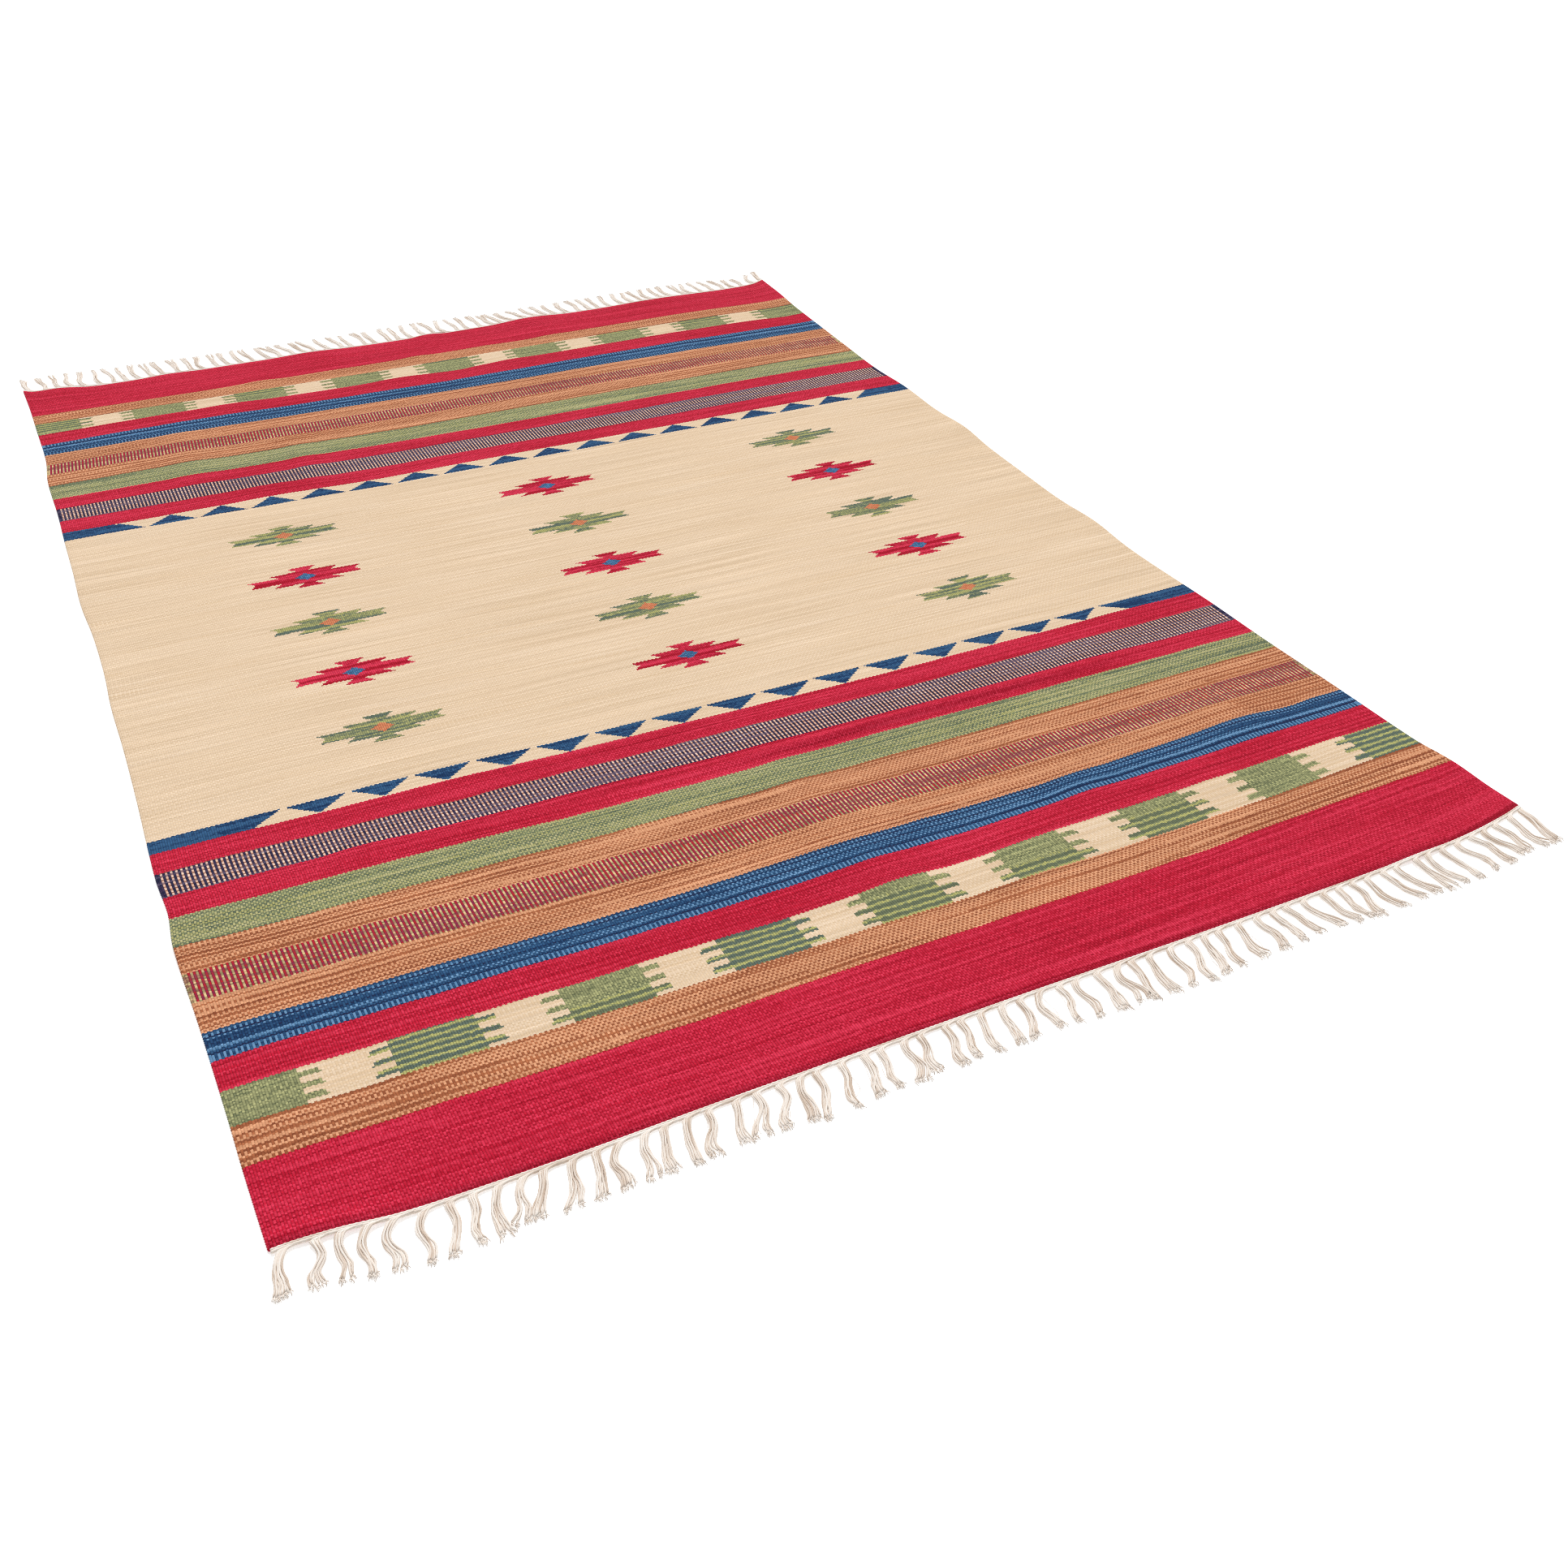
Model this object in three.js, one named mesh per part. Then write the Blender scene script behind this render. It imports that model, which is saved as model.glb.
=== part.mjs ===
// A flat-woven cotton rug, 1.70 m by 2.40 m, lying on the floor with a knotted fringe at both ends.
// Millimetres, +Z up. X runs across the rug, Y along its warp threads. The near end is at -Y.
// Every piece is drawn in the rug's own plan, which has its origin at the middle of the woven cloth.
// The group then shifts that plan, so that the whole rug is centred over the frame's origin.
import * as THREE from "three";

// The woven cloth
const CLOTH_WIDTH = 1700;
const CLOTH_LENGTH = 2400;
const CLOTH_THICKNESS = 3.5;
const CLOTH_ROWS = 40;
const KNOTS_PER_COLUMN = 2;

// The off-white end band, and the tassels that leave it
const BAND_GAP = 0.35;
const BAND_THICKNESS = 3;
const BAND_WIDTH = 8;
const BAND_WIDTH_AT_KNOT = 13;
const BAND_END_INSET = 2;
const KNOT_COUNT = 64;
const KNOT_INSET = 13;
const KNOT_HALF_WIDTH = 6;
const KNOT_JITTER = 9;

// Each tassel is two flattened locks of yarn that part below the knot
const LOCK_KNEE_SHARE = 0.45;
const LOCK_KNEE = { width: 5, height: 3, apart: 6.6 };
const LOCK_TIP = { width: 4, height: 2, apart: 9 };
const LEAN_JITTER = 4;
const REACH_JITTER = 6;
const KNEE_JITTER = 3;

const CLOTH_COLOUR = 0xb9283f;
const FRINGE_COLOUR = 0xd9cbb8;

// How far the two side edges stand out past the plain rectangle, at stations along the rug
const SIDE_EDGES = [
  { y: -1200, left: 0.5, right: 0 },
  { y: -1090, left: 2.5, right: -7.5 },
  { y: -1000, left: 3, right: -13.5 },
  { y: -850, left: 5.5, right: -17.5 },
  { y: -705, left: 9.5, right: -22.5 },
  { y: -635, left: 5, right: -23.5 },
  { y: -560, left: 8, right: -24.5 },
  { y: -370, left: 4, right: -32 },
  { y: -240, left: 2.5, right: -27.5 },
  { y: -120, left: 3, right: -32.5 },
  { y: -20, left: -0.5, right: -30.5 },
  { y: 100, left: 0, right: -27.5 },
  { y: 215, left: 5, right: -21 },
  { y: 330, left: 3, right: -25.5 },
  { y: 450, left: 2.5, right: -22 },
  { y: 570, left: 1, right: -28.5 },
  { y: 720, left: 2, right: -24 },
  { y: 820, left: -4, right: -20.5 },
  { y: 980, left: -2, right: -16.5 },
  { y: 1090, left: -0.5, right: -7.5 },
  { y: 1195, left: 3.5, right: -1.5 },
];

// How far the two woven ends stand out past the plain rectangle, at stations across the rug
const END_EDGES = [
  { x: -852, near: 0, far: -4 },
  { x: -830, near: 0, far: -23 },
  { x: -780, near: 5, far: -30 },
  { x: -720, near: 12.5, far: -40 },
  { x: -550, near: 17, far: -40 },
  { x: -350, near: 16, far: -39 },
  { x: -100, near: 17, far: -44 },
  { x: 50, near: 18, far: -42 },
  { x: 250, near: 21, far: -36 },
  { x: 450, near: 22, far: -36 },
  { x: 640, near: 21, far: -36 },
  { x: 740, near: 16, far: -35 },
  { x: 810, near: 7, far: -29 },
  { x: 849, near: -1, far: -9 },
];

// Low ripples in the cloth as it lies: the middle of each, its half length along X and Y, and how high it stands
const RIPPLES = [
  { x: -20, y: -860, alongX: 95, alongY: 330, height: 3.4 },
  { x: 630, y: -860, alongX: 110, alongY: 95, height: 2.6 },
  { x: 500, y: -965, alongX: 75, alongY: 70, height: 2.4 },
  { x: 710, y: -975, alongX: 80, alongY: 75, height: 2.6 },
  { x: 160, y: -648, alongX: 760, alongY: 34, height: 2.6 },
  { x: -780, y: -1225, alongX: 95, alongY: 80, height: 2.6 },
  { x: -640, y: -1010, alongX: 80, alongY: 150, height: 1.8 },
  { x: 640, y: -1235, alongX: 70, alongY: 110, height: 2.2 },
  { x: 855, y: -1085, alongX: 80, alongY: 75, height: 3.6 },
  { x: 850, y: -240, alongX: 80, alongY: 100, height: 2.6 },
  { x: 855, y: 215, alongX: 90, alongY: 105, height: 3 },
  { x: -870, y: -700, alongX: 90, alongY: 70, height: 2.4 },
  { x: -600, y: 690, alongX: 60, alongY: 300, height: 2.4 },
  { x: -400, y: 600, alongX: 50, alongY: 190, height: 2.8 },
  { x: -780, y: 1185, alongX: 85, alongY: 130, height: 3.6 },
  { x: -565, y: 1180, alongX: 75, alongY: 190, height: 2.2 },
  { x: -265, y: 1190, alongX: 110, alongY: 170, height: 3 },
  { x: -5, y: 1190, alongX: 50, alongY: 150, height: 4 },
  { x: 235, y: 1190, alongX: 110, alongY: 190, height: 4.6 },
  { x: 560, y: 1190, alongX: 190, alongY: 150, height: 3.2 },
  { x: 850, y: 1000, alongX: 85, alongY: 230, height: 2.4 },
];

// How far past the cloth the tassels reach, and how far their tips lean along X, at stations across each end
const NEAR_TASSELS = [
  { x: -850, lean: -11, reach: 58 },
  { x: -800, lean: -3, reach: 60 },
  { x: -740, lean: -11, reach: 62 },
  { x: -650, lean: -7, reach: 65 },
  { x: -580, lean: -20, reach: 57 },
  { x: -500, lean: -11, reach: 62 },
  { x: -400, lean: -14, reach: 62 },
  { x: -300, lean: -12, reach: 62 },
  { x: -225, lean: -8, reach: 67 },
  { x: -160, lean: -4, reach: 61 },
  { x: 0, lean: -8, reach: 60 },
  { x: 120, lean: 0, reach: 63 },
  { x: 180, lean: -5, reach: 67 },
  { x: 280, lean: -9, reach: 68 },
  { x: 340, lean: -3, reach: 64 },
  { x: 430, lean: 16, reach: 58 },
  { x: 520, lean: 0, reach: 65 },
  { x: 580, lean: 18, reach: 60 },
  { x: 650, lean: 7, reach: 67 },
  { x: 730, lean: 19, reach: 63 },
  { x: 800, lean: 3, reach: 66 },
  { x: 850, lean: -5, reach: 70 },
];
const FAR_TASSELS = [
  { x: -850, lean: -5, reach: 60 },
  { x: -790, lean: -5, reach: 86 },
  { x: -700, lean: -7, reach: 90 },
  { x: -600, lean: -11, reach: 88 },
  { x: -500, lean: -5, reach: 84 },
  { x: -400, lean: -13, reach: 82 },
  { x: -290, lean: -18, reach: 80 },
  { x: -150, lean: -8, reach: 82 },
  { x: -60, lean: -2, reach: 86 },
  { x: 20, lean: -5, reach: 88 },
  { x: 110, lean: -5, reach: 80 },
  { x: 200, lean: -20, reach: 72 },
  { x: 300, lean: -8, reach: 79 },
  { x: 450, lean: 0, reach: 80 },
  { x: 600, lean: -4, reach: 82 },
  { x: 700, lean: -4, reach: 76 },
  { x: 770, lean: -3, reach: 62 },
  { x: 850, lean: 14, reach: 58 },
];

// A repeatable number between -0.5 and 0.5 for the tassel and use given
function jitter(index, use) {
  const value = Math.sin(index * 12.9898 + use * 78.233) * 43758.5453;
  return value - Math.floor(value) - 0.5;
}

// The smooth curve through a table's rows, read at one station of the column named key
function along(table, key, column, at) {
  const last = table.length - 1;
  const station = Math.min(Math.max(at, table[0][key]), table[last][key]);
  let row = 0;
  while (row < last - 1 && table[row + 1][key] < station) row += 1;
  const [start, end] = [table[row], table[row + 1]];
  const span = end[key] - start[key];
  const slopeAt = (i) => {
    const [before, after] = [table[Math.max(i - 1, 0)], table[Math.min(i + 1, last)]];
    return (after[column] - before[column]) / (after[key] - before[key]);
  };
  const share = (station - start[key]) / span;
  const square = share * share;
  const cube = square * share;
  return (
    start[column] * (2 * cube - 3 * square + 1) +
    end[column] * (3 * square - 2 * cube) +
    span * slopeAt(row) * (cube - 2 * square + share) +
    span * slopeAt(row + 1) * (cube - square)
  );
}

// How far the cloth's underside stands off the floor at a point of the plan. It is flat between the ripples.
function lift(x, y) {
  let height = 0;
  for (const ripple of RIPPLES) {
    const away = Math.hypot((x - ripple.x) / ripple.alongX, (y - ripple.y) / ripple.alongY);
    if (away < 1) height += ripple.height * Math.cos((away * Math.PI) / 2) ** 2;
  }
  return height;
}

// The warp threads are gathered into one knot for each tassel, at nearly even steps across the rug
const knotPitch = (CLOTH_WIDTH - 2 * KNOT_INSET) / (KNOT_COUNT - 1);
const knots = Array.from(
  { length: KNOT_COUNT },
  (_, i) => -CLOTH_WIDTH / 2 + KNOT_INSET + i * knotPitch + jitter(i, 1) * KNOT_JITTER,
);

// The cloth's columns run through every second knot, so its ends and the bands beside them share their corners
const columns = [
  -CLOTH_WIDTH / 2,
  ...knots.filter((_, i) => i % KNOTS_PER_COLUMN === 0 && i < KNOT_COUNT - 1),
  CLOTH_WIDTH / 2,
];

// The place in the plan of a point given by its column and by its share of the way from the near to the far end
function clothPoint(column, share) {
  const near = -CLOTH_LENGTH / 2 - along(END_EDGES, "x", "near", column);
  const far = CLOTH_LENGTH / 2 + along(END_EDGES, "x", "far", column);
  const y = near + (far - near) * share;
  const left = -CLOTH_WIDTH / 2 - along(SIDE_EDGES, "y", "left", y);
  const right = CLOTH_WIDTH / 2 + along(SIDE_EDGES, "y", "right", y);
  return [left + (right - left) * (column / CLOTH_WIDTH + 0.5), y];
}

// The corners of the woven end, one for each column, and the straight line between them at any x
const endCorners = (share) => columns.map((column) => clothPoint(column, share));
function endLine(corners, x) {
  const after = corners.findIndex((corner, i) => i > 0 && (corner[0] >= x || i === corners.length - 1));
  const [[x0, y0], [x1, y1]] = [corners[after - 1], corners[after]];
  return y0 + ((y1 - y0) * (x - x0)) / (x1 - x0);
}

// A mesh from its corners and from faces of three or four corners, counter-clockwise from outside
function solid(name, corners, faces, colour) {
  const triangles = faces.flatMap(([a, b, c, d]) => (d === undefined ? [a, b, c] : [a, b, c, a, c, d]));
  const geometry = new THREE.BufferGeometry();
  geometry.setAttribute("position", new THREE.Float32BufferAttribute(corners.flat(), 3));
  geometry.setIndex(triangles);
  geometry.computeVertexNormals();
  const material = new THREE.MeshStandardMaterial({ color: colour, roughness: 0.95, metalness: 0 });
  const mesh = new THREE.Mesh(geometry, material);
  mesh.name = name;
  return mesh;
}

// The woven cloth: one sheet of even thickness that follows the ripples
function cloth() {
  const across = columns.length;
  const corners = [];
  for (const top of [0, CLOTH_THICKNESS]) {
    for (let row = 0; row <= CLOTH_ROWS; row += 1) {
      for (const column of columns) {
        const [x, y] = clothPoint(column, row / CLOTH_ROWS);
        corners.push([x, y, lift(x, y) + top]);
      }
    }
  }
  const sheet = across * (CLOTH_ROWS + 1);
  const faces = [];
  const at = (row, column) => row * across + column;
  for (let row = 0; row < CLOTH_ROWS; row += 1) {
    for (let column = 0; column < across - 1; column += 1) {
      const [a, b] = [at(row, column), at(row, column + 1)];
      const [d, c] = [at(row + 1, column), at(row + 1, column + 1)];
      faces.push([a + sheet, b + sheet, c + sheet, d + sheet], [d, c, b, a]);
    }
  }
  const rim = [
    ...columns.map((_, i) => at(0, i)),
    ...Array.from({ length: CLOTH_ROWS }, (_, i) => at(i + 1, across - 1)),
    ...columns.slice(1).map((_, i) => at(CLOTH_ROWS, across - 2 - i)),
    ...Array.from({ length: CLOTH_ROWS - 1 }, (_, i) => at(CLOTH_ROWS - 1 - i, 0)),
  ];
  rim.forEach((a, i) => {
    const b = rim[(i + 1) % rim.length];
    faces.push([a, b, b + sheet, a + sheet]);
  });
  return solid("rug_cloth", corners, faces, CLOTH_COLOUR);
}

// One end's fringe: the band beside the cloth's end, drawn out to a knot for each tassel, and two locks from each.
// outward is -1 at the near end and 1 at the far end.
function fringe(name, outward, tassels) {
  const ends = endCorners(outward < 0 ? 0 : 1);
  const corners = [];
  const faces = [];
  const place = (x, out, z) => {
    const held = Math.min(Math.max(x, ends[0][0]), ends.at(-1)[0]);
    corners.push([x, endLine(ends, held) + outward * (BAND_GAP + out), z]);
    return corners.length - 1;
  };
  const liftAt = (x) => lift(x, endLine(ends, x));

  // One cross-section of the band, as the numbers of its four corners
  const section = (x, width) => {
    const low = liftAt(x);
    return {
      inLow: place(x, 0, low),
      inHigh: place(x, 0, low + BAND_THICKNESS),
      outLow: place(x, width, low),
      outHigh: place(x, width, low + BAND_THICKNESS),
    };
  };
  const join = (a, b, open) => {
    faces.push([a.outHigh, b.outHigh, b.inHigh, a.inHigh]);
    faces.push([b.outLow, a.outLow, a.inLow, b.inLow]);
    faces.push([b.inLow, a.inLow, a.inHigh, b.inHigh]);
    if (!open) faces.push([a.outLow, b.outLow, b.outHigh, a.outHigh]);
  };

  // A lock grows from the band's outer wall between two sections, and comes to rest on the floor
  const lock = (a, b, middle, side, index) => {
    const lean = along(tassels, "x", "lean", middle) + jitter(index, 2) * LEAN_JITTER;
    const reach = along(tassels, "x", "reach", middle) + jitter(index, 3) * REACH_JITTER;
    const bend = jitter(index, 4) * KNEE_JITTER;
    const ring = (share, shape, sway) => {
      const x = middle + lean * share + sway + (side * shape.apart) / 2;
      const out = BAND_WIDTH_AT_KNOT + (reach - BAND_WIDTH_AT_KNOT) * share;
      const low = share < 1 ? liftAt(middle) * (1 - share) : 0;
      const half = shape.width / 2;
      return [
        place(x - half, out, low),
        place(x + half, out, low),
        place(x + half, out, low + shape.height),
        place(x - half, out, low + shape.height),
      ];
    };
    const rings = [
      [a.outLow, b.outLow, b.outHigh, a.outHigh],
      ring(LOCK_KNEE_SHARE, LOCK_KNEE, bend),
      ring(1, LOCK_TIP, 0),
    ];
    for (let i = 0; i + 1 < rings.length; i += 1) {
      for (let corner = 0; corner < 4; corner += 1) {
        const next = (corner + 1) % 4;
        faces.push([rings[i][corner], rings[i][next], rings[i + 1][next], rings[i + 1][corner]]);
      }
    }
    faces.push(rings.at(-1));
  };

  let before = section(ends[0][0] + BAND_END_INSET, BAND_WIDTH);
  faces.push([before.inLow, before.outLow, before.outHigh, before.inHigh]);
  knots.forEach((knot, index) => {
    const left = section(knot - KNOT_HALF_WIDTH, BAND_WIDTH);
    const middle = section(knot, BAND_WIDTH_AT_KNOT);
    const right = section(knot + KNOT_HALF_WIDTH, BAND_WIDTH);
    join(before, left, false);
    join(left, middle, true);
    join(middle, right, true);
    lock(left, middle, knot, -1, index);
    lock(middle, right, knot, 1, index);
    before = right;
  });
  const last = section(ends.at(-1)[0] - BAND_END_INSET, BAND_WIDTH);
  join(before, last, false);
  faces.push([last.outLow, last.inLow, last.inHigh, last.outHigh]);

  // The far end is the mirror image of the near one, so its faces turn the other way
  return solid(name, corners, outward < 0 ? faces : faces.map((face) => face.toReversed()), FRINGE_COLOUR);
}

const rug = new THREE.Group();
rug.add(cloth(), fringe("fringe_near", -1, NEAR_TASSELS), fringe("fringe_far", 1, FAR_TASSELS));

// Centre the whole rug over the frame's origin
const middle = new THREE.Box3().setFromObject(rug).getCenter(new THREE.Vector3());
rug.position.set(-middle.x, -middle.y, 0);

export default rug;
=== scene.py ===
# A flat-woven cotton rug, 1.70 m by 2.40 m, lying on the floor with a knotted fringe at both ends.
# Metres, +Z up. The rug is drawn in its own plan, with its origin at the middle of the woven cloth,
# and every mesh is then shifted into the frame, where the whole rug is centred over the origin.
import math

import bpy
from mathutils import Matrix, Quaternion, Vector, noise


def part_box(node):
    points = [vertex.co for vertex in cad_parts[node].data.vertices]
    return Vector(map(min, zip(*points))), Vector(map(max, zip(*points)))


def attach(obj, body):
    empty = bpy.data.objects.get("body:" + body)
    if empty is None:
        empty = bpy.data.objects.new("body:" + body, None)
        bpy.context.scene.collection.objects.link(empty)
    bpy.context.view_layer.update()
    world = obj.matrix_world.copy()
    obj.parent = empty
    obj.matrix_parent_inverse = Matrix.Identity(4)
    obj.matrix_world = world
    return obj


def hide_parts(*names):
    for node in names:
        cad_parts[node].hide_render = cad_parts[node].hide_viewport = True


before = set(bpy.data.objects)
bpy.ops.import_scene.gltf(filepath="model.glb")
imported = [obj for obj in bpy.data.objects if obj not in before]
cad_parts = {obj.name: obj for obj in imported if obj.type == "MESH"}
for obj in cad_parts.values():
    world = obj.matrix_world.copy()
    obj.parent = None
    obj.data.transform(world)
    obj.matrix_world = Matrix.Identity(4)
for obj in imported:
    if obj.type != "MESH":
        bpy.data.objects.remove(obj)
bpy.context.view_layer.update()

MM = 0.001


def rows_of(columns, *rows):
    """A table's rows, each read by the names of its columns."""
    return [dict(zip(columns, row)) for row in rows]


def named_rows(columns, *rows):
    """The same, with each row found by its first value."""
    return {row[columns[0]]: row for row in rows_of(columns, *rows)}


# The woven cloth
CLOTH_WIDTH = 1.700
CLOTH_LENGTH = 2.400
CLOTH_THICKNESS = 3.5 * MM
WARP_COUNT = 534
WARPS_PER_CELL = 3
PICK = 1.2333 * MM
ROWS_IN_CLOTH = 162
FOLD_ROWS = (36, 43)
FOLD_SPLIT = 4

# The off-white end band, and the knots that leave it
BAND_GAP = 0.35 * MM
KNOT_COUNT = 64
KNOT_INSET = 13 * MM
KNOT_JITTER = 9 * MM
LEAN_JITTER = 4 * MM
REACH_JITTER = 6 * MM

# How far the two side edges stand out past the plain rectangle, in millimetres, at stations along the rug
SIDE_EDGES = rows_of(
    ("y", "left", "right"),
    (-1200, 0.5, 0),
    (-1090, 2.5, -7.5),
    (-1000, 3, -13.5),
    (-850, 5.5, -17.5),
    (-705, 9.5, -22.5),
    (-635, 5, -23.5),
    (-560, 8, -24.5),
    (-370, 4, -32),
    (-240, 2.5, -27.5),
    (-120, 3, -32.5),
    (-20, -0.5, -30.5),
    (100, 0, -27.5),
    (215, 5, -21),
    (330, 3, -25.5),
    (450, 2.5, -22),
    (570, 1, -28.5),
    (720, 2, -24),
    (820, -5, -20.5),
    (980, -4, -16.5),
    (1090, -3, -7.5),
    (1195, 0, -1.5),
)

# How far the two woven ends stand out past the plain rectangle, in millimetres, at stations across the rug
END_EDGES = rows_of(
    ("x", "near", "far"),
    (-852, 0, -4),
    (-830, 0, -23),
    (-780, 5, -30),
    (-720, 12.5, -40),
    (-550, 17, -40),
    (-350, 16, -39),
    (-100, 17, -44),
    (50, 18, -42),
    (250, 21, -36),
    (450, 22, -36),
    (640, 21, -36),
    (740, 16, -35),
    (810, 7, -29),
    (849, -1, -9),
)

# Low ripples in the cloth as it lies: middle, half length along X and Y, and height, in millimetres
RIPPLES = rows_of(
    ("x", "y", "along_x", "along_y", "height"),
    (-20, -860, 95, 330, 3.4),
    (630, -860, 110, 95, 2.6),
    (500, -965, 75, 70, 2.4),
    (710, -975, 80, 75, 2.6),
    (240, -642, 560, 17, 7.5),
    (-780, -1225, 95, 80, 2.6),
    (-640, -1010, 80, 150, 1.8),
    (640, -1235, 70, 110, 2.2),
    (855, -1085, 80, 75, 3.6),
    (850, -240, 80, 100, 2.6),
    (855, 215, 90, 105, 3),
    (-870, -700, 90, 70, 2.4),
    (-600, 690, 60, 300, 2.4),
    (-400, 600, 50, 190, 2.8),
    (-780, 1185, 85, 130, 3.6),
    (-565, 1180, 75, 190, 2.2),
    (-265, 1190, 110, 170, 3),
    (-5, 1190, 50, 150, 4),
    (235, 1190, 110, 190, 4.6),
    (560, 1190, 190, 150, 3.2),
    (850, 1000, 85, 230, 2.4),
)

# How far past the cloth the tassels reach, and how far their tips lean along X, in millimetres
NEAR_TASSELS = rows_of(
    ("x", "lean", "reach"),
    (-850, -11, 58),
    (-800, -3, 60),
    (-740, -11, 62),
    (-650, -7, 65),
    (-580, -20, 57),
    (-500, -11, 62),
    (-400, -14, 62),
    (-300, -12, 62),
    (-225, -8, 67),
    (-160, -4, 61),
    (0, -8, 60),
    (120, 0, 63),
    (180, -5, 67),
    (280, -9, 68),
    (340, -3, 64),
    (430, 16, 58),
    (520, 0, 65),
    (580, 18, 60),
    (650, 7, 67),
    (730, 19, 63),
    (800, 3, 66),
    (850, -5, 70),
)
FAR_TASSELS = rows_of(
    ("x", "lean", "reach"),
    (-850, -5, 60),
    (-790, -5, 86),
    (-700, -7, 90),
    (-600, -11, 88),
    (-500, -5, 84),
    (-400, -13, 82),
    (-290, -18, 80),
    (-150, -8, 82),
    (-60, -2, 86),
    (20, -5, 88),
    (110, -5, 80),
    (200, -20, 72),
    (300, -8, 79),
    (450, 0, 80),
    (600, -4, 82),
    (700, -4, 76),
    (770, -3, 62),
    (850, 14, 58),
)

# The woven bands, from the cream field outwards: the pick each starts at, counted from the middle of the rug,
# and the kind of weaving. Every start is a multiple of three picks.
BANDS = rows_of(
    ("start", "kind"),
    (0, "field"),
    (378, "triangles"),
    (405, "red"),
    (444, "navy_check"),
    (486, "red"),
    (522, "green"),
    (570, "tan"),
    (612, "red_check"),
    (654, "tan"),
    (696, "navy"),
    (699, "blue_dashes"),
    (702, "navy"),
    (705, "blue_dots"),
    (711, "navy"),
    (714, "blue_dots"),
    (723, "navy"),
    (726, "blue_dashes"),
    (735, "red"),
    (777, "combs"),
    (828, "tan_dots"),
    (867, "red"),
)
BAND_START = {}
BAND_END = {}
for band, following in zip(BANDS, BANDS[1:]):
    BAND_START.setdefault(band["kind"], band["start"])
    BAND_END.setdefault(band["kind"], following["start"])
LAST_PICK = 966

# Where some bands' edges lie, in millimetres from the middle of the rug, at stations across it
NEAR_LINES = rows_of(
    ("x", "field", "red4", "red3", "check", "blue", "red2", "comb", "red1"),
    (-840, 480, 529, 628, 759, 868, 944, 1024, 1085),
    (-600, 479, 534, 630, 765, 871, 946, 1031, 1090),
    (-300, 487, 542, 640, 771, 876, 949, 1036, 1093),
    (0, 492, 548, 643, 771, 870, 949, 1038, 1092),
    (300, 495, 553, 647, 774, 876, 943, 1038, 1092),
    (600, 499, 549, 649, 771, 863, 941, 1034, 1086),
    (810, 497, 550, 651, 769, 866, 937, 1027, 1082),
)
FAR_LINES = rows_of(
    ("x", "field", "red4", "red3", "check", "blue", "red2", "comb", "red1"),
    (-840, 457, 514, 612, 749, 839, 920, 1000, 1046),
    (-600, 453, 513, 611, 748, 841, 929, 1000, 1042),
    (-300, 444, 502, 603, 739, 835, 917, 997, 1043),
    (0, 443, 501, 600, 737, 831, 914, 999, 1044),
    (300, 443, 500, 603, 740, 834, 923, 1006, 1051),
    (600, 440, 502, 603, 739, 832, 923, 1008, 1054),
    (810, 438, 498, 600, 736, 829, 914, 1001, 1048),
)

# The pick that lies on each of those edges
LINE_PICKS = {
    "field": 378, "red4": 426, "red3": 504, "check": 612,
    "blue": 696, "red2": 756, "comb": 828, "red1": 867,
}

# Where the wefts bend out of their line: middle, half length along X and Y, and shift along Y, in millimetres
WEFT_BENDS = rows_of(
    ("x", "y", "along_x", "along_y", "shift"),
    (-600, -604, 90, 45, 4),
    (-470, -560, 80, 60, -4),
    (-250, -616, 220, 30, 2.5),
    (-230, -665, 330, 25, -4),
    (680, -600, 200, 60, -4),
    (640, -512, 150, 40, 3),
    (-500, -915, 120, 35, 3),
    (330, -895, 75, 50, 5),
    (0, -872, 110, 30, -4),
    (720, -869, 70, 30, -5),
    (0, -967, 90, 28, 5),
    (600, -964, 120, 28, 4),
    (410, -1093, 80, 25, -2.5),
    (-490, 515, 110, 55, 9),
    (-480, 945, 90, 30, 5),
    (-130, 942, 85, 30, 7),
    (0, 930, 60, 30, -7),
    (120, 942, 70, 30, 6),
    (800, 932, 120, 30, -5),
    (-400, 1055, 70, 30, 7),
    (-60, 1052, 60, 30, 7),
    (180, 1049, 90, 30, -4.5),
)


def jitter(index, use):
    """A repeatable number between -0.5 and 0.5 for the tassel and use given."""
    value = math.sin(index * 12.9898 + use * 78.233) * 43758.5453
    return value - math.floor(value) - 0.5


def along(table, key, column, at):
    """The smooth curve through a table's rows, read at one station of the column named key."""
    last = len(table) - 1
    station = min(max(at, table[0][key]), table[last][key])
    row = 0
    while row < last - 1 and table[row + 1][key] < station:
        row += 1

    def slope_at(i):
        before = table[max(i - 1, 0)]
        after = table[min(i + 1, last)]
        return (after[column] - before[column]) / (after[key] - before[key])

    start = table[row]
    end = table[row + 1]
    span = end[key] - start[key]
    share = (station - start[key]) / span
    square = share * share
    cube = square * share
    return (
        start[column] * (2 * cube - 3 * square + 1)
        + end[column] * (3 * square - 2 * cube)
        + span * slope_at(row) * (cube - 2 * square + share)
        + span * slope_at(row + 1) * (cube - square)
    )


def swell(table, column, x, y):
    """The sum of a table's soft round swells at a point of the plan, in metres."""
    total = 0
    for row in table:
        across = (x / MM - row["x"]) / row["along_x"]
        lengthwise = (y / MM - row["y"]) / row["along_y"]
        away = math.hypot(across, lengthwise)
        if away < 1:
            total += row[column] * MM * math.cos(away * math.pi / 2) ** 2
    return total


def lift(x, y):
    """How far the cloth's underside stands off the floor at a point of the plan."""
    return swell(RIPPLES, "height", x, y)


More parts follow.
